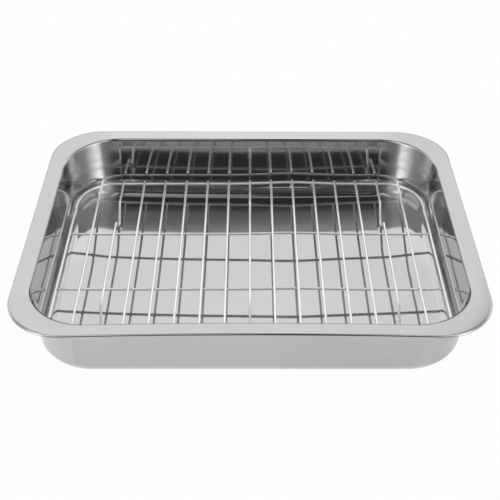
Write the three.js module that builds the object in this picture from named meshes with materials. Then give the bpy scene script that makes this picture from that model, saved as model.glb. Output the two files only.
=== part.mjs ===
import * as THREE from 'three';

// A pressed steel roasting pan with a loose welded wire rack standing in it.
// Millimetres, +Z up. The origin is the middle of the pan's underside, and the
// long side runs along X.

// Pan
const PAN_WIDTH = 318;
const PAN_DEPTH = 254;
const PAN_HEIGHT = 51;
const SHEET = 0.7;
const RIM_WIDTH = 12;
const RIM_SLOPE = THREE.MathUtils.degToRad(6);
const RIM_CORNER_R = 39;
const EDGE_BEND_R = 0.75;
const EDGE_LIP = 0.3;
const RIM_BEND_R = 2.4;
const WALL_DRAFT = THREE.MathUtils.degToRad(4);
const WALL_CORNER_TOP_R = 43;
const WALL_CORNER_FLOOR_R = 37;
const FLOOR_FILLET_R = 12;

// Rack
const RACK_HEIGHT = 15.8;
const FRAME_WIRE = 2.8;
const ROD_WIRE = 2;
const CROSS_WIRE = 2.4;
const ROD_COUNT = 15;
const ROD_OVERHANG = 0.9;
const CROSS_OFFSET = 33.8;
const FOOT_OFFSET = 62.5;
const FOOT_SPREAD = 26.4;
const FOOT_TIP_R = 3.2;
const FOOT_SHOULDER_R = 4;

// Clearances
const RACK_SIDE_GAP = 2.3;
const RACK_END_GAP = 5.6;
const RACK_CORNER_GAP = 0.9;
const WELD_GAP = 0.15;
const STANDING_GAP = 0.2;

// Facets
const CORNER_STEPS = 12;
const EDGE_STEPS = 4;
const RIM_BEND_STEPS = 5;
const FILLET_STEPS = 7;
const WIRE_SIDES = 12;
const WIRE_BEND_STEPS = 6;

// Heights and places that follow from the sizes above
const floorTop = SHEET;
const rodZ = floorTop + RACK_HEIGHT - ROD_WIRE / 2;
const weldZ = rodZ - ROD_WIRE / 2 - WELD_GAP;
const frameZ = weldZ - FRAME_WIRE / 2;
const crossZ = weldZ - CROSS_WIRE / 2;
const footZ = floorTop + STANDING_GAP + ROD_WIRE / 2;

const panSteel = new THREE.MeshStandardMaterial({ color: 0xcfd0d1, roughness: 0.14, metalness: 1 });
const wireSteel = new THREE.MeshStandardMaterial({ color: 0xd8d9da, roughness: 0.16, metalness: 1 });

// Points of the arc of the given radius that rounds off one corner of a
// polyline, each with the direction of travel there.
function bend(before, corner, after, radius, steps) {
  const inward = corner.clone().sub(before).normalize();
  const outward = after.clone().sub(corner).normalize();
  const turn = Math.atan2(inward.cross(outward), inward.dot(outward));
  const reach = radius * Math.tan(Math.abs(turn) / 2);
  const start = corner.clone().addScaledVector(inward, -reach);
  const toCentre = new THREE.Vector2(-inward.y, inward.x).multiplyScalar(Math.sign(turn) * radius);
  const centre = start.clone().add(toCentre);
  const origin = new THREE.Vector2();
  const nodes = [];
  for (let i = 0; i <= steps; i += 1) {
    const angle = (turn * i) / steps;
    nodes.push({
      at: start.clone().rotateAround(centre, angle),
      along: inward.clone().rotateAround(origin, angle),
    });
  }
  return nodes;
}

// Pan wall in section, on the middle of the sheet: x is the inset from the
// outer edge of the rim and y the height.
const edgeRounding = EDGE_BEND_R * (Math.tan(Math.PI / 4 + RIM_SLOPE / 2) - 1);
const edgeTop = new THREE.Vector2(SHEET / 2, PAN_HEIGHT - SHEET / 2 + edgeRounding);
const edgeEnd = new THREE.Vector2(SHEET / 2, PAN_HEIGHT - SHEET / 2 - EDGE_BEND_R - EDGE_LIP);
const rimRun = RIM_WIDTH - SHEET / 2;
const rimInner = new THREE.Vector2(RIM_WIDTH, edgeTop.y - rimRun * Math.tan(RIM_SLOPE));
const wallFoot = new THREE.Vector2(
  rimInner.x + (rimInner.y - SHEET / 2) * Math.tan(WALL_DRAFT),
  SHEET / 2,
);
const floorMiddle = new THREE.Vector2(PAN_DEPTH / 2, SHEET / 2);

const section = [
  { at: edgeEnd, along: new THREE.Vector2(0, 1) },
  ...bend(edgeEnd, edgeTop, rimInner, EDGE_BEND_R, EDGE_STEPS),
  ...bend(edgeTop, rimInner, wallFoot, RIM_BEND_R, RIM_BEND_STEPS),
  ...bend(rimInner, wallFoot, floorMiddle, FLOOR_FILLET_R, FILLET_STEPS),
];

// Plan corner radius of the sheet's middle at a given inset: it grows across
// the rim, shrinks down the wall and then follows the floor fillet inwards.
function cornerRadius(inset) {
  if (inset < rimInner.x) {
    return THREE.MathUtils.lerp(RIM_CORNER_R, WALL_CORNER_TOP_R, inset / rimInner.x);
  }
  const down = Math.min(1, (inset - rimInner.x) / (wallFoot.x - rimInner.x));
  const past = Math.max(0, inset - wallFoot.x);
  return THREE.MathUtils.lerp(WALL_CORNER_TOP_R, WALL_CORNER_FLOOR_R, down) - past;
}

// Rounded rectangle in plan, anticlockwise from above.
function roundedRing(halfWidth, halfDepth, radius, z) {
  const ring = [];
  for (let corner = 0; corner < 4; corner += 1) {
    const sideX = corner === 0 || corner === 3 ? 1 : -1;
    const sideY = corner < 2 ? 1 : -1;
    for (let i = 0; i <= CORNER_STEPS; i += 1) {
      const angle = (corner + i / CORNER_STEPS) * (Math.PI / 2);
      ring.push(new THREE.Vector3(
        sideX * (halfWidth - radius) + radius * Math.cos(angle),
        sideY * (halfDepth - radius) + radius * Math.sin(angle),
        z,
      ));
    }
  }
  return ring;
}

// One face of the sheet around the whole pan: the section moved off its middle
// by the given distance, up and inwards where the distance is positive.
function sheetFace(distance) {
  return section.map(({ at, along }) => {
    const inset = at.x - along.y * distance;
    const radius = cornerRadius(at.x) + along.y * distance;
    const z = at.y + along.x * distance;
    return roundedRing(PAN_WIDTH / 2 - inset, PAN_DEPTH / 2 - inset, radius, z);
  });
}

// Skin over a row of rings with equal counts, each ring closed on itself.
function skin(rings, closed) {
  const count = rings[0].length;
  const points = rings.flat();
  const index = [];
  const spans = closed ? rings.length : rings.length - 1;
  for (let r = 0; r < spans; r += 1) {
    const here = r * count;
    const next = ((r + 1) % rings.length) * count;
    for (let i = 0; i < count; i += 1) {
      const j = (i + 1) % count;
      index.push(here + i, next + i, next + j);
      index.push(here + i, next + j, here + j);
    }
  }
  if (!closed) {
    const last = (rings.length - 1) * count;
    const first = points.push(middle(rings[0])) - 1;
    const final = points.push(middle(rings[rings.length - 1])) - 1;
    for (let i = 0; i < count; i += 1) {
      const j = (i + 1) % count;
      index.push(first, i, j);
      index.push(final, last + j, last + i);
    }
  }
  const geometry = new THREE.BufferGeometry().setFromPoints(points);
  geometry.setIndex(index);
  geometry.computeVertexNormals();
  return geometry;
}

function middle(ring) {
  const sum = ring.reduce((total, point) => total.add(point), new THREE.Vector3());
  return sum.divideScalar(ring.length);
}

// Round wire along a flat path. The nodes carry their place and direction, and
// normal is square to the plane of the path.
function bentWire(nodes, normal, diameter, closed) {
  const rings = nodes.map(({ at, along }) => {
    const across = new THREE.Vector3().crossVectors(along, normal);
    const ring = [];
    for (let i = 0; i < WIRE_SIDES; i += 1) {
      const angle = (i / WIRE_SIDES) * Math.PI * 2;
      ring.push(at.clone()
        .addScaledVector(across, Math.cos(angle) * diameter / 2)
        .addScaledVector(normal, Math.sin(angle) * diameter / 2));
    }
    return ring;
  });
  return skin(rings, closed);
}

function straightWire(length, diameter) {
  return new THREE.CylinderGeometry(diameter / 2, diameter / 2, length, WIRE_SIDES);
}

const part = new THREE.Group();

function add(name, geometry, material) {
  const mesh = new THREE.Mesh(geometry, material);
  mesh.name = name;
  part.add(mesh);
  return mesh;
}

// Pan: up the inside from the floor to the rim's edge and down the outside.
const insideFace = sheetFace(SHEET / 2).reverse();
const outsideFace = sheetFace(-SHEET / 2);
add('pan', skin([...insideFace, ...outsideFace], false), panSteel);

// Rack outline, held off the pan's inside face at the height of its frame.
const wallInset = THREE.MathUtils.mapLinear(frameZ, rimInner.y, wallFoot.y, rimInner.x, wallFoot.x);
const faceInset = wallInset + SHEET / 2;
const wallHalfX = PAN_WIDTH / 2 - faceInset;
const wallHalfY = PAN_DEPTH / 2 - faceInset;
const wallR = cornerRadius(wallInset) - SHEET / 2;
const frameHalfX = wallHalfX - RACK_SIDE_GAP - FRAME_WIRE / 2;
const frameHalfY = wallHalfY - RACK_END_GAP - FRAME_WIRE / 2;

// Corner radius that leaves the corner gap between frame and wall.
const cornerReach = wallR - RACK_CORNER_GAP;
const reachX = wallR - RACK_SIDE_GAP;
const reachY = wallR - RACK_END_GAP;
const frameOuterR = reachX + reachY - cornerReach
  - Math.sqrt(2 * (cornerReach - reachX) * (cornerReach - reachY));
const frameR = frameOuterR - FRAME_WIRE / 2;

const framePath = roundedRing(frameHalfX, frameHalfY, frameR, frameZ).map((at, i) => {
  const corner = Math.floor(i / (CORNER_STEPS + 1));
  const step = i % (CORNER_STEPS + 1);
  const angle = (corner + step / CORNER_STEPS) * (Math.PI / 2);
  return { at, along: new THREE.Vector3(-Math.sin(angle), Math.cos(angle), 0) };
});
add('rack_frame', bentWire(framePath, new THREE.Vector3(0, 0, 1), FRAME_WIRE, true), wireSteel);

// Cross wires, butted between the frame's long sides under the rods.
const crossLength = 2 * (frameHalfX - FRAME_WIRE / 2 - WELD_GAP);
for (const [name, side] of [['cross_wire_back', 1], ['cross_wire_front', -1]]) {
  const cross = add(name, straightWire(crossLength, CROSS_WIRE), wireSteel);
  cross.rotation.z = Math.PI / 2;
  cross.position.set(0, side * CROSS_OFFSET, crossZ);
}

// The rounded tip of a foot lies higher than the point of its V. The lift is
// found by repeating, because a deeper point also steepens the V.
let tipLift = 0;
for (let i = 0; i < 20; i += 1) {
  const slant = Math.atan2(rodZ - footZ + tipLift, FOOT_SPREAD / 2);
  tipLift = FOOT_TIP_R * (1 / Math.cos(slant) - 1);
}

// Rod with an open V bent down near each end as a foot: y is along the rod and
// z up, in the rod's own upright plane.
function legRodNodes(halfLength) {
  const corners = [new THREE.Vector2(-halfLength, rodZ)];
  const radii = [0];
  for (const side of [-1, 1]) {
    const middleY = side * FOOT_OFFSET;
    corners.push(new THREE.Vector2(middleY - FOOT_SPREAD / 2, rodZ));
    corners.push(new THREE.Vector2(middleY, footZ - tipLift));
    corners.push(new THREE.Vector2(middleY + FOOT_SPREAD / 2, rodZ));
    radii.push(FOOT_SHOULDER_R, FOOT_TIP_R, FOOT_SHOULDER_R);
  }
  corners.push(new THREE.Vector2(halfLength, rodZ));
  const nodes = [{ at: corners[0], along: new THREE.Vector2(1, 0) }];
  for (let i = 1; i < corners.length - 1; i += 1) {
    nodes.push(...bend(corners[i - 1], corners[i], corners[i + 1], radii[i], WIRE_BEND_STEPS));
  }
  nodes.push({ at: corners[corners.length - 1], along: new THREE.Vector2(1, 0) });
  return nodes.map(({ at, along }) => ({
    at: new THREE.Vector3(0, at.x, at.y),
    along: new THREE.Vector3(0, along.x, along.y),
  }));
}

// Rods, laid over the frame at an even pitch; three of them carry the feet.
const rodPitch = (2 * frameHalfX) / (ROD_COUNT + 1);
const rodHalf = frameHalfY + ROD_OVERHANG;
const legRods = [1, Math.floor(ROD_COUNT / 2), ROD_COUNT - 2];
for (let i = 0; i < ROD_COUNT; i += 1) {
  const number = String(i + 1).padStart(2, '0');
  const x = (i + 1) * rodPitch - frameHalfX;
  if (legRods.includes(i)) {
    const legWire = bentWire(legRodNodes(rodHalf), new THREE.Vector3(1, 0, 0), ROD_WIRE, false);
    add(`leg_rod_${number}`, legWire, wireSteel).position.set(x, 0, 0);
  } else {
    add(`rod_${number}`, straightWire(2 * rodHalf, ROD_WIRE), wireSteel).position.set(x, 0, rodZ);
  }
}

export default part;
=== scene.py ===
import math

import bpy
import numpy as np
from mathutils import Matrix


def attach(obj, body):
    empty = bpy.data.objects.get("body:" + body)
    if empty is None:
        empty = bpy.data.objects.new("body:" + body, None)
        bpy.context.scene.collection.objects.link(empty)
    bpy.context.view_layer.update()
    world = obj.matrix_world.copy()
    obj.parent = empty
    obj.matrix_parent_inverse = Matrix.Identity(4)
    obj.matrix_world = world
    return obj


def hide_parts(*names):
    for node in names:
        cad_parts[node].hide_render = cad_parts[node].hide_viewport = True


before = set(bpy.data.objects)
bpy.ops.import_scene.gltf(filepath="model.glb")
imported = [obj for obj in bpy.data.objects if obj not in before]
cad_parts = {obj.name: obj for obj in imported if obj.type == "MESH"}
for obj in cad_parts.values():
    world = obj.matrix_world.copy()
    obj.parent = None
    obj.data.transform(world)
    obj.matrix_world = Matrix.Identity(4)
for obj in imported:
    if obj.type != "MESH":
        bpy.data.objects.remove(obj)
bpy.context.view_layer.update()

# Sizes in millimetres, while the scene itself is in metres. Most are the CAD part's. The
# wires, the rim's bend and the side fillet are a little smaller, and the edge leans out.
MM = 0.001
PAN_W, PAN_D, PAN_H, SHEET = 318.0, 254.0, 51.0, 0.7
RIM_W, RIM_SLOPE, RIM_R = 12.0, math.radians(6), 39.0
EDGE_R, EDGE_LEAN, EDGE_ANGLE, BEND_R = 0.75, 0.45, math.radians(64), 1.5
DRAFT, WALL_TOP_R, WALL_FLOOR_R = math.radians(4), 43.0, 39.0
FILLET_R, SIDE_FILLET_R = 12.0, 8.0
EDGE_STEPS, RIM_STEPS, BEND_STEPS, WALL_STEPS, FILLET_STEPS = 12, 14, 16, 20, 24
FRAME_X, FRAME_Y, FRAME_R = 140.394, 105.094, 30.5
FRAME_WIRE, ROD_WIRE, CROSS_WIRE = 2.1, 1.8, 1.9
ROD_Z, FRAME_Z, CROSS_Z = 15.5, 13.3, 13.4
ROD_HALF, CROSS_HALF, CROSS_Y = 105.994, 138.844, 33.8
FOOT_Y, FOOT_SPREAD, TIP_R, SHOULDER_R = 62.5, 27.4, 3.2, 4.0
RODS, LEG_RODS = 15, (2, 8, 14)
PITCH = 2 * FRAME_X / (RODS + 1)
ROD_WELD, BUTT_WELD = (1.15, 1.15, 0.6), (0.7, 1.45, 1.45)

# The photographed pan is not quite true: how far its floor, walls and rim are off, and
# the spans of x, y or height over which that sets in.
DISH_X, DISH_Y, DISH_UNDER, FAR_RISE = 2.1, 2.2, 2.1, 1.8
DISH_HALF_X, DISH_UNIT_Y, DISH_STRAIGHT_Y = 134.0, 100.0, 80.0
WALL_BOW, FRONT_UP, FRONT_BACK, BACK_TWIST = 0.38, 1.3, 0.8, 0.55
INNER_UP, INNER_BOW, OUTER_DROP = 0.2, 0.3, 0.45
CROWN, CROWN_DROP, CROWN_SKEW = 0.5, 0.4, 0.3
WALL_Z, LOW_Z, RIM_Z = (8.0, 48.0), (SHEET, SHEET + 26), (34.0, 51.0)
BESIDE_X, BESIDE_Y = (120.0, 150.0), (70.0, 110.0)
FAR_X, FAR_Y, BACK_Y = (106.0, 135.0), (0.0, 68.0), (0.0, 127.0)
FRONT_HALF_X, FRONT_Y = 128.0, (70.0, 115.0)
CORNER_X, CORNER_Y = (112.0, 146.0), (45.0, 105.0)

# The rack stands on its outer feet, a little forward of the middle, and its wires rise
# along a strip to the right of the middle.
RACK_Y, FEET_Y, FOOT_Z = -0.6, -2.6, 3.45
STRIP_X, STRIP_WIDTH, STRIP_UP, STRIP_TILT, STRIP_Z = 33.0, 27.0, 1.1, 0.5, (0.0, 8.0)


# ---- surfaces

def skin(rings, loop=False):
    """Points and faces over a row of closed rings of equal count: quads between
    neighbouring rings, and a fan to the middle of the first and of the last ring
    unless the row itself closes."""
    n, m, _ = rings.shape
    here = (np.arange(n if loop else n - 1) * m)[:, None]
    there = (here + m) % (n * m)
    i = np.arange(m)
    j = (i + 1) % m
    points = rings.reshape(-1, 3)
    faces = [np.stack([here + i, there + i, there + j, here + j], -1).reshape(-1, 4)]
    if not loop:
        points = np.concatenate([points, rings[[0, -1]].mean(axis=1)])
        end = (n - 1) * m
        faces.append(np.stack([np.full(m, n * m), i, j], -1))
        faces.append(np.stack([np.full(m, n * m + 1), end + j, end + i], -1))
    return points, faces


def piece(name, points, faces, material, body, slot, nodes=()):
    """Smooth mesh object at the origin, riding on a body in place of its nodes. The
    rack's pieces are settled first."""
    mesh = bpy.data.meshes.new(name)
    points = settle(points) if body == "rack" else points
    mesh.from_pydata((points * MM).tolist(), [], sum((rows.tolist() for rows in faces), []))
    mesh.shade_smooth()
    mesh.materials.append(material)
    made = bpy.data.objects.new(name, mesh)
    bpy.context.scene.collection.objects.link(made)
    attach(made, body)
    if nodes:
        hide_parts(*nodes)


def bend(before, corner, after, radius, steps):
    """Arc of the given radius that rounds a corner of a flat polyline: points and
    directions of travel, turned evenly from the first leg to the second."""
    before, corner, after = (np.array(p, float) for p in (before, corner, after))
    a = (corner - before) / np.linalg.norm(corner - before)
    b = (after - corner) / np.linalg.norm(after - corner)
    turn = math.atan2(a[0] * b[1] - a[1] * b[0], a @ b)
    start = corner - a * radius * math.tan(abs(turn) / 2)
    left = np.array([-a[1], a[0]])
    centre = start + left * math.copysign(radius, turn)
    angle = np.linspace(0, turn, steps + 1)[:, None]
    along = np.cos(angle) * a + np.sin(angle) * left
    spoke = start - centre
    across = np.array([-spoke[1], spoke[0]])
    return centre + np.cos(angle) * spoke + np.sin(angle) * across, along


def run(start, stop, steps):
    """Evenly spaced points strictly between two points, with their direction."""
    start, stop = np.array(start, float), np.array(stop, float)
    t = np.linspace(0, 1, steps + 2)[1:-1, None]
    along = (stop - start) / np.linalg.norm(stop - start)
    return start + (stop - start) * t, np.repeat(along[None], steps, 0)


def join(rows):
    """Points and directions of several stretches as one row."""
    return (np.concatenate(part) for part in zip(*rows))


def ramp(value, start, stop):
    """Cubic step: 0 up to start, 1 from stop on, and level at both ends."""
    t = np.clip((value - start) / (stop - start), 0, 1)
    return t * t * (3 - 2 * t)


# ---- pan

def perimeter(half_x, half_y, radius, corner_steps=36, long_steps=44, short_steps=34):
    """Rounded rectangles in plan, one for each entry of the size arrays: quarter
    circles at the corners and straight lines between them, anticlockwise."""
    rows = []
    for k in range(4):
        t = np.linspace(0, 1, corner_steps + 1)
        n = (long_steps, short_steps)[k % 2]
        w = np.linspace(0, 1, n + 2)[1:-1]
        rows.append(np.stack([np.full_like(t, k), t, np.zeros_like(t)], -1))
        rows.append(np.stack([np.full_like(w, k), np.ones_like(w), w], -1))
    k, t, w = np.concatenate(rows).T
    k = k.astype(int)

    def corner(k, t):
        sx, sy = np.array([1, -1, -1, 1])[k], np.array([1, 1, -1, -1])[k]
        angle = (k + t) * math.pi / 2
        x = sx * (half_x - radius)[:, None] + radius[:, None] * np.cos(angle)
        y = sy * (half_y - radius)[:, None] + radius[:, None] * np.sin(angle)
        return np.stack([x, y], -1)

    w = w[None, :, None]
    return corner(k, t) * (1 - w) + corner((k + 1) % 4, np.zeros_like(t)) * w


def pan_section(fillet_r):
    """Middle of the sheet from the turned edge over the rim, down the wall and
    round the floor fillet: inset and height, direction, and plan corner radius."""
    top = PAN_H - SHEET / 2 + EDGE_R * (math.tan(math.pi / 4 + RIM_SLOPE / 2) - 1)
    edge_end = (SHEET / 2, top - EDGE_LEAN * math.tan(EDGE_ANGLE))
    edge_top = (SHEET / 2 + EDGE_LEAN, top)
    rim_in = (RIM_W, top - (RIM_W - SHEET / 2) * math.tan(RIM_SLOPE))
    foot = (RIM_W + (rim_in[1] - SHEET / 2) * math.tan(DRAFT), SHEET / 2)
    lip = np.array([edge_top]) - np.array([edge_end])
    edge = bend(edge_end, edge_top, rim_in, EDGE_R, EDGE_STEPS)
    rim = bend(edge_top, rim_in, foot, BEND_R, BEND_STEPS)
    fillet = bend(rim_in, foot, (PAN_D / 2, SHEET / 2), fillet_r, FILLET_STEPS)
    at, along = join([
        (np.array([edge_end]), lip / np.linalg.norm(lip)),
        edge, run(edge[0][-1], rim[0][0], RIM_STEPS),
        rim, run(rim[0][-1], fillet[0][0], WALL_STEPS),
        fillet,
    ])
    inset = at[:, 0]
    down = np.clip((inset - rim_in[0]) / (foot[0] - rim_in[0]), 0, 1)
    radius = np.where(inset < rim_in[0], RIM_R + (WALL_TOP_R - RIM_R) * inset / rim_in[0],
                      WALL_TOP_R + (WALL_FLOOR_R - WALL_TOP_R) * down)
    return at, along, radius - np.maximum(0, inset - foot[0])


def pan_rings(distance, fillet_r):
    """The section moved off the sheet's middle, with its wall bowed in as a parabola,
    and carried round the pan: one ring for each of its points, and their insets."""
    at, along, radius = pan_section(fillet_r)
    height = at[:, 1] + along[:, 0] * distance
    up = np.clip((height - WALL_Z[0]) / (WALL_Z[1] - WALL_Z[0]), 0, 1)
    wall = at[:, 0] > RIM_W - 1
    inset = at[:, 0] - along[:, 1] * distance + WALL_BOW * 4 * up * (1 - up) * wall
    plan = perimeter(PAN_W / 2 - inset, PAN_D / 2 - inset, radius + along[:, 1] * distance)
    height = np.repeat(height[:, None, None], plan.shape[1], 1)
    return np.concatenate([plan, height], -1), inset


def floor_dish(rings):
    """Rise of the floor's upper face: the square of x, a fourth power of y that goes on
    straight near the walls, and a little more at the far side corners."""
    x, y = rings[..., 0], rings[..., 1]
    curved = np.minimum(abs(y), DISH_STRAIGHT_Y) / DISH_UNIT_Y
    straight = abs(y) / DISH_UNIT_Y - curved
    return (DISH_X * (x / DISH_HALF_X) ** 2
            + FAR_RISE * ramp(abs(x), *FAR_X) * ramp(y, *FAR_Y)
            + DISH_Y * (curved ** 4 + 4 * curved ** 3 * straight))


def rim_shape(rings, out):
    """How far the rim lies back and up. Its front bows back and up as a parabola, more
    so at the inner side than at the outer one. The front corners are crowned across the
    rim and drop to the outside, the right one more. The back rises to the left."""
    x, y, z = np.moveaxis(rings, -1, 0)
    rim = ramp(z, *RIM_Z)
    front = ramp(-y, *FRONT_Y) * rim
    bow = np.clip(1 - (x / FRONT_HALF_X) ** 2, 0, 1)
    corner = ramp(abs(x), *CORNER_X) * ramp(-y, *CORNER_Y)
    inner = (1 - out) * (INNER_UP + INNER_BOW * bow)
    up = front * (FRONT_UP * bow + inner - OUTER_DROP * out * (1 - corner))
    crown = CROWN * 4 * out * (1 - out) - CROWN_DROP * out
    up += (1 + CROWN_SKEW * np.sign(x)) * corner * crown
    up -= BACK_TWIST * (x / (PAN_W / 2)) * ramp(y, *BACK_Y) * rim
    return np.stack([FRONT_BACK * bow * front, up], -1)


def pan_face(distance, floor_steps=30):
    """One face of the sheet. Its rings have the wide fillet, blended into the tight one
    along the short sides. The floor is shrinking copies of the last ring. The dish is
    added low down and the rim's shape high up."""
    wide, _ = pan_rings(distance, FILLET_R)
    tight, inset = pan_rings(distance, SIDE_FILLET_R)
    x, y = abs(wide[:1, :, 0]), abs(wide[:1, :, 1])
    beside = ramp(x, *BESIDE_X) * (1 - ramp(y, *BESIDE_Y))
    rings = wide + (tight - wide) * beside[..., None]
    shrink = (1 - np.linspace(0, 1, floor_steps)[1:-1])[:, None, None]
    scale = np.concatenate([np.ones(len(rings)), shrink[:, 0, 0]])[:, None]
    inset = np.concatenate([inset, np.full(len(shrink), RIM_W)])[:, None]
    floor = rings[-1:] * np.concatenate([shrink, shrink, np.ones_like(shrink)], -1)
    rings = np.concatenate([rings, floor])
    dish = floor_dish(rings) if distance > 0 else DISH_UNDER * scale ** 2
    rings[..., 2] += dish * (1 - ramp(rings[..., 2], *LOW_Z))
    rings[..., 1:] += rim_shape(rings, np.clip(1 - inset / RIM_W, 0, 1))
    return rings


def pan_points():
    """Inside face from the floor's middle out to the edge, then the outside back."""
    return skin(np.concatenate([pan_face(SHEET / 2)[::-1], pan_face(-SHEET / 2)]))


# ---- rack

def tube(path, along, normal, radius, sides=36, loop=False, reach=0.35):
    """Round wire along a flat path: circles square to the direction of travel. An
    open wire's ends are eased by two smaller circles."""
    normal = np.array(normal, float)
    r = np.full(len(path), radius)
    if not loop:
        ease = np.array([1.0, 0.45, 0.0]) * reach
        size = np.array([0.62, 0.88, 1.0]) * radius
        head = path[0] + along[0] * ease[::-1, None]
        tail = path[-1] - along[-1] * ease[:, None]
        path = np.concatenate([head, path[1:-1], tail])
        along = along[np.r_[0, 0, 0:len(along), -1, -1]]
        r = np.concatenate([size, r[1:-1], size[::-1]])
    across = np.cross(along, normal)
    angle = np.linspace(0, 2 * math.pi, sides, endpoint=False)[None, :, None]
    ring = np.cos(angle) * across[:, None] + np.sin(angle) * normal
    return skin(path[:, None] + ring * r[:, None, None], loop)


def frame_points():
    """Frame wire: a tube round a rounded rectangle at one height."""
    size = (np.array([half]) for half in (FRAME_X, FRAME_Y, FRAME_R))
    plan = perimeter(*size, corner_steps=28, long_steps=40, short_steps=30)[0]
    path = np.concatenate([plan, np.full((len(plan), 1), FRAME_Z)], 1)
    step = np.roll(path, -1, 0) - np.roll(path, 1, 0)
    along = step / np.linalg.norm(step, axis=1)[:, None]
    return tube(path, along, (0, 0, 1), FRAME_WIRE / 2, loop=True)


def straight_points(start, stop, radius, steps=24):
    """Straight level wire between two points."""
    start, stop = np.array(start, float), np.array(stop, float)
    t = np.linspace(0, 1, steps)[:, None]
    along = (stop - start) / np.linalg.norm(stop - start)
    return tube(start + (stop - start) * t, np.repeat(along[None], steps, 0), (0, 0, 1), radius)


def leg_points(x, arc_steps=12, run_steps=8):
    """Rod bent down near each end into an open V with a rounded tip, in the plane of
    constant x. The V's corner lies below its rounded tip, and the slope that says how
    far depends on it, so that depth is found by repeating."""
    below = 0.0
    for _ in range(20):
        slope = math.atan2(ROD_Z - FOOT_Z + below, FOOT_SPREAD / 2)
        below = TIP_R * (1 / math.cos(slope) - 1)
    corners, radii = [(-ROD_HALF, ROD_Z)], [0]
    for y in (FEET_Y - FOOT_Y, FEET_Y + FOOT_Y):
        near, far = y - FOOT_SPREAD / 2, y + FOOT_SPREAD / 2
        corners += [(near, ROD_Z), (y, FOOT_Z - below), (far, ROD_Z)]
        radii += [SHOULDER_R, TIP_R, SHOULDER_R]
    corners.append((ROD_HALF, ROD_Z))
    level = np.array([[1.0, 0.0]])
    rows = [(np.array(corners[:1]), level)]
    for k in range(1, len(corners) - 1):
        arc = bend(corners[k - 1], corners[k], corners[k + 1], radii[k], arc_steps)
        rows += [run(rows[-1][0][-1], arc[0][0], run_steps), arc]
    rows += [run(rows[-1][0][-1], corners[-1], run_steps), (np.array(corners[-1:]), level)]
    at, along = join(rows)
    path = np.insert(at, 0, x, axis=1)
    return tube(path, np.insert(along, 0, 0.0, axis=1), (1, 0, 0), ROD_WIRE / 2)


def settle(points):
    """The rack as it stands: moved forward a little and raised softly along a strip
    to the right of its middle, more at the back than at the front."""
    x, y, z = points.T
    hill = np.exp(-((x - STRIP_X) / STRIP_WIDTH) ** 2)
    rise = (STRIP_UP + STRIP_TILT * y / FRAME_Y) * hill
    return np.stack([x, y + RACK_Y, z + rise * ramp(z, *STRIP_Z)], -1)


def weld_points(centres, radii, rows=7, sides=16):
    """Small flattened beads at the crossings: an ellipsoid repeated at each centre."""
    latitude = np.linspace(math.pi / 2, -math.pi / 2, rows + 2)[1:-1, None]
    turn = np.linspace(0, 2 * math.pi, sides, endpoint=False)
    level = np.cos(latitude)
    ball = np.broadcast_arrays(level * np.cos(turn), level * np.sin(turn), np.sin(latitude))
    points, faces = skin(np.stack(ball, -1) * np.array(radii))
    first = (np.arange(len(centres)) * len(points))[:, None, None]
    points = (np.array(centres)[:, None] + points).reshape(-1, 3)
    return points, [(first + face).reshape(-1, face.shape[1]) for face in faces]


# ---- materials

class Value:
    """A shader socket, or just a tree to start from; arithmetic adds Math nodes."""

    def __init__(self, tree, socket=None):
        self.tree, self.socket = tree, socket

    def node(self, kind, settings=None, inputs=None, output=0):
        """A node of any type: its settings, then the values or links of its sockets."""
        made = self.tree.nodes.new("ShaderNode" + kind)
        for key, value in (settings or {}).items():
            setattr(made, key, value)
        for key, value in (inputs or {}).items():
            if isinstance(value, Value):
                value.feed(made, key)
            else:
                made.inputs[key].default_value = value
        return Value(self.tree, made.outputs[output])

    def feed(self, shader, key):
        """Links the value to a socket of a node."""
        self.tree.links.new(self.socket, shader.inputs[key])

    def maths(self, operation, *values):
        return self.node("Math", {"operation": operation}, dict(enumerate(values)))

    def __add__(self, other):
        return self.maths("ADD", self, other)

    def __sub__(self, other):
        return self.maths("SUBTRACT", self, other)

    def __rsub__(self, other):
        return self.maths("SUBTRACT", other, self)

    def __mul__(self, other):
        return self.maths("MULTIPLY", self, other)

    def __abs__(self):
        return self.maths("ABSOLUTE", self)

    __radd__, __rmul__ = __add__, __mul__

    def clip(self, low, high):
        """The value's place between two limits, from 0 to 1 with smooth ends."""
        return self.node("MapRange", {"interpolation_type": "SMOOTHSTEP"},
                         {"Value": self, "From Min": low, "From Max": high})

    def axis(self, letter):
        """One coordinate of a vector."""
        return self.node("SeparateXYZ", None, {"Vector": self}, letter)

    def grey(self, blue=1.0):
        """Colour of this brightness, with its blue scaled."""
        tint = self if blue == 1.0 else self * blue
        return self.node("CombineColor", None, {"Red": self, "Green": self, "Blue": tint})


# Marks on steel: sizes of the noise, the scratches' stretch, directions and threshold,
# and what each adds to the roughness or takes from the colour.
CLOUD_SCALE, CLOUD_DETAIL, GRAIN_SCALE, SCRATCH_SCALE = 14, 3, 900, 500
SCRATCH_STRETCH, SCRATCH_TURNS, SCRATCH_LEVEL = (0.02, 1, 1), (0.3, 1.25, 2.4), (0.66, 0.72)
CLOUD_DULL, CLOUD_SHADE, GRAIN_DULL, SCRATCH_SHADE = 0.5, 0.03, 0.01, 0.012
STEEL_BLUE = 1.004
DRAWN_X, DRAWN_Y = (0.106, 0.120), (0.074, 0.088)


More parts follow.
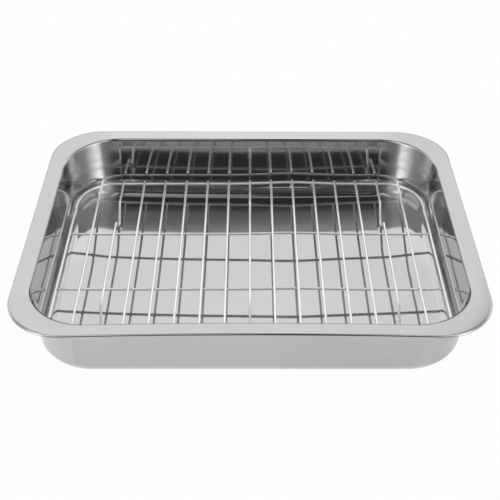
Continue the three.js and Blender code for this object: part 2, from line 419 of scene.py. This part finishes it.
def steel(name, base, rough, grain, scratch, metal=1.0, corner=0.0):
    """Stainless steel: a near-even grey whose gloss varies with soft cloudy handling
    marks, fine grain along one direction and hairline scratches. The drawn corners of a
    pan can be duller."""
    material = bpy.data.materials.new(name)
    material.use_nodes = True
    tree = material.node_tree
    shader = tree.nodes["Principled BSDF"]
    place = Value(tree).node("TexCoord", output="Object")

    def noise(scale, stretch=(1, 1, 1), turn=0.0, detail=2.0):
        turned = {"Vector": place, "Rotation": (0, 0, turn), "Scale": stretch}
        spot = place.node("Mapping", None, turned)
        return place.node("TexNoise", None, {"Vector": spot, "Scale": scale, "Detail": detail})

    cloud = noise(CLOUD_SCALE, detail=CLOUD_DETAIL)
    fine = noise(GRAIN_SCALE, grain)
    marks = [noise(SCRATCH_SCALE, SCRATCH_STRETCH, turn).clip(*SCRATCH_LEVEL)
             for turn in SCRATCH_TURNS]
    hair = marks[0] + marks[1] + marks[2]
    dull = (rough * (1 - CLOUD_DULL / 2 + cloud * CLOUD_DULL)
            + fine * GRAIN_DULL + hair * scratch)
    if corner:
        drawn = abs(place.axis("X")).clip(*DRAWN_X) * abs(place.axis("Y")).clip(*DRAWN_Y)
        dull = dull + drawn * corner
    shade = base * (1 - CLOUD_SHADE / 2 + cloud * CLOUD_SHADE) - hair * SCRATCH_SHADE
    dull.feed(shader, "Roughness")
    shade.grey(STEEL_BLUE).feed(shader, "Base Color")
    shader.inputs["Metallic"].default_value = metal
    return material


pan_steel = steel("pan_polished_steel", 0.52, 0.06, (0.15, 1, 1), 0.015, corner=0.14)
rod_steel = steel("rod_satin_steel", 0.95, 0.2, (1, 1, 1), 0.003, metal=0.65)
weld_steel = steel("weld_steel", 0.62, 0.24, (1, 1, 1), 0.02)

# ---- pieces


def wire(name, shape, node):
    """A wire of the rack in place of its CAD node."""
    piece(name, *shape, rod_steel, "rack", "wire_steel", [node])


piece("pan_shell", *pan_points(), pan_steel, "pan", "pan_steel", ["pan"])
wire("frame_wire", frame_points(), "rack_frame")
rod_x = (np.arange(RODS) - RODS // 2) * PITCH
for number, x in enumerate(rod_x, 1):
    if number in LEG_RODS:
        wire(f"rod_with_feet_{number:02d}", leg_points(x), f"leg_rod_{number:02d}")
    else:
        rod = straight_points((x, -ROD_HALF, ROD_Z), (x, ROD_HALF, ROD_Z), ROD_WIRE / 2)
        wire(f"straight_rod_{number:02d}", rod, f"rod_{number:02d}")
for end, y in (("back", CROSS_Y), ("front", -CROSS_Y)):
    rod = straight_points((-CROSS_HALF, y, CROSS_Z), (CROSS_HALF, y, CROSS_Z), CROSS_WIRE / 2)
    wire(f"cross_rod_{end}", rod, f"cross_wire_{end}")

weld_z = ROD_Z - ROD_WIRE / 2
crossings = [(x, y, weld_z) for x in rod_x for y in (-FRAME_Y, -CROSS_Y, CROSS_Y, FRAME_Y)]
piece("rod_welds", *weld_points(crossings, ROD_WELD), weld_steel, "rack", "wire_steel")
butts = [(x, y, CROSS_Z) for x in (-CROSS_HALF, CROSS_HALF) for y in (-CROSS_Y, CROSS_Y)]
piece("cross_rod_welds", *weld_points(butts, BUTT_WELD), weld_steel, "rack", "wire_steel")

# ---- light

scene = bpy.context.scene
scene.view_settings.view_transform = "Standard"

world = bpy.data.worlds.new("studio")
scene.world = world
world.use_nodes = True
look = Value(world.node_tree).node("TexCoord", output="Generated")
DEGREES = 180 / math.pi
azimuth = look.maths("ARCTAN2", look.axis("X"), look.axis("Y")) * DEGREES
elevation = look.maths("ARCSINE", look.axis("Z")) * DEGREES


def panel(middle, width, side, low, high, edge):
    """Soft-edged sheet of light: 1 within a span of azimuth and of elevation, in
    degrees, and fading to 0 over the edges at its sides and at top and bottom."""
    off = abs(azimuth - middle)
    off = off.maths("MINIMUM", off, 360 - off)
    return ((1 - off.clip(width, width + side)) * elevation.clip(low - edge, low)
            * (1 - elevation.clip(high, high + edge)))


AMBIENT = 0.06
# Softboxes brighten from their far ends to the ends near the camera.
SOFTBOX_FAR, SOFTBOX_GAIN, SOFTBOX_SPAN = 0.6, 3.3, (104, 130)
softbox = SOFTBOX_FAR + abs(azimuth).clip(*SOFTBOX_SPAN) * SOFTBOX_GAIN
# Each panel: azimuth of its middle (0 is behind the pan, 180 at the camera), half width
# and fade, lowest and highest elevation and fade, and brightness.
PANELS = (
    (0, 36, 34, 26, 32, 8, 1.11),  # behind, low
    (-6, 8, 56, 40, 52, 8, 1.11),  # behind, high
    (0, 20, 20, 42, 48, 3, 0.14),  # a little more at its middle
    (-52, 16, 12, 4, 18, 6, 0.9), (52, 16, 12, 4, 18, 6, 0.9),  # beside them, near the floor
    (-102, 36, 28, -10, 46, 8, 0.52), (102, 36, 28, -10, 46, 8, 0.52),  # sides of the room
    (-121, 14, 4, 4, 24, 6, softbox), (121, 14, 4, 4, 24, 6, softbox),  # nearer the camera
    (-108, 36, 12, 55, 80, 5, 1.5), (108, 36, 12, 55, 80, 5, 1.4),  # high above the sides
    (180, 16, 20, 50.5, 51, 3, 0.95),  # thin strip above the camera
    (-166, 10, 8, 60, 76, 6, 0.75),  # above that strip, to the left
)
level = AMBIENT
for *span, brightness in PANELS:
    level = level + panel(*span) * brightness
to_camera = look.node("LightPath", output="Is Camera Ray")
sky = level * (1 - to_camera) + to_camera
sky.grey().feed(world.node_tree.nodes["Background"], "Color")

lamp_data = bpy.data.lights.new("softbox", "AREA")
lamp_data.shape = "RECTANGLE"
lamp_data.size, lamp_data.size_y = 1.8, 1.4
lamp_data.energy = 8
lamp = bpy.data.objects.new("softbox", lamp_data)
scene.collection.objects.link(lamp)
lamp.location = (0, 0.1, 1.5)
lamp.visible_glossy = False

# ---- stage

FLOOR_HALF = 4
# Floor glow to the camera, and in the steel's mirror an even level with painted light added and
# painted shade taken off, and the lines that bound them.
FLOOR_SEEN, FLOOR_MIRROR_GLOW, PAINTED_LIGHT_GAIN, PAINTED_SHADE_LOSS = 0.975, 0.74, 0.26, 0.15
DIAGONAL, LEFT_LINE, RIGHT_LINE = 0.87, (-0.013, -0.007), (-0.030, -0.012)
FRONT_LINE, RIGHT_END, RIGHT_HALF = (-0.120, -0.114), (0.115, 0.135), (0.0, 0.07)

floor_mesh = bpy.data.meshes.new("floor")
floor_corners = np.array([(-1, -1, 0), (1, -1, 0), (1, 1, 0), (-1, 1, 0)]) * FLOOR_HALF
floor_mesh.from_pydata(floor_corners.tolist(), [], [(0, 1, 2, 3)])
floor = bpy.data.objects.new("floor", floor_mesh)
scene.collection.objects.link(floor)
floor_material = bpy.data.materials.new("pale_floor")
floor_material.use_nodes = True
floor_tree = floor_material.node_tree
paper = floor_tree.nodes["Principled BSDF"]
paper.inputs["Base Color"].default_value = (0.86, 0.86, 0.86, 1)
paper.inputs["Roughness"].default_value = 0.9
paper.inputs["Specular IOR Level"].default_value = 0.1

# The floor glows evenly to the camera. In the steel's mirror it glows with painted light and
# painted shade: brighter behind the pan's front edge and left of a diagonal through the pan as
# painted light, and dimmer before the other diagonal on the right as painted shade.
spot = Value(floor_tree).node("TexCoord", output="Object")
spot_x, spot_y = spot.axis("X"), spot.axis("Y")
behind = spot_y.clip(*FRONT_LINE) * (1 - spot_x.clip(*RIGHT_END))
leftward = (spot_y - spot_x * DIAGONAL).clip(*LEFT_LINE)
rightward = (spot_y + spot_x * DIAGONAL).clip(*RIGHT_LINE)
# Painted light and painted shade in the floor's glow, as the steel mirrors it.
mirror_glow_painted_light_and_shade = (FLOOR_MIRROR_GLOW - spot_x.clip(*RIGHT_HALF) * (1 - rightward) * PAINTED_SHADE_LOSS
         + behind.maths("MAXIMUM", behind, leftward) * PAINTED_LIGHT_GAIN)
seen = spot.node("LightPath", output="Is Camera Ray")
mirrored = spot.node("LightPath", output="Is Glossy Ray")
glow = spot.node("Emission", None, {"Color": (1, 1, 1, 1), "Strength": 1.0})
paper_and_glow = spot.node("MixShader", None, {
    "Fac": seen * FLOOR_SEEN + mirrored * mirror_glow_painted_light_and_shade,
    1: Value(floor_tree, paper.outputs[0]),
    2: glow,
})
paper_and_glow.feed(floor_tree.nodes["Material Output"], "Surface")
floor_mesh.materials.append(floor_material)

# ---- camera, as fitted to the photo: focal length and width in pixels, place in metres

FOCAL, PHOTO_WIDTH, SENSOR = 982.0, 500, 36
CAMERA_AT, CAMERA_DOWN = (0.0, -0.5841, 0.4641), 37.06

camera_data = bpy.data.cameras.new("camera")
camera_data.sensor_width = SENSOR
camera_data.lens = FOCAL / PHOTO_WIDTH * SENSOR
camera = bpy.data.objects.new("camera", camera_data)
scene.collection.objects.link(camera)
camera.location = CAMERA_AT
camera.rotation_euler = (math.radians(90 - CAMERA_DOWN), 0, 0)
scene.camera = camera
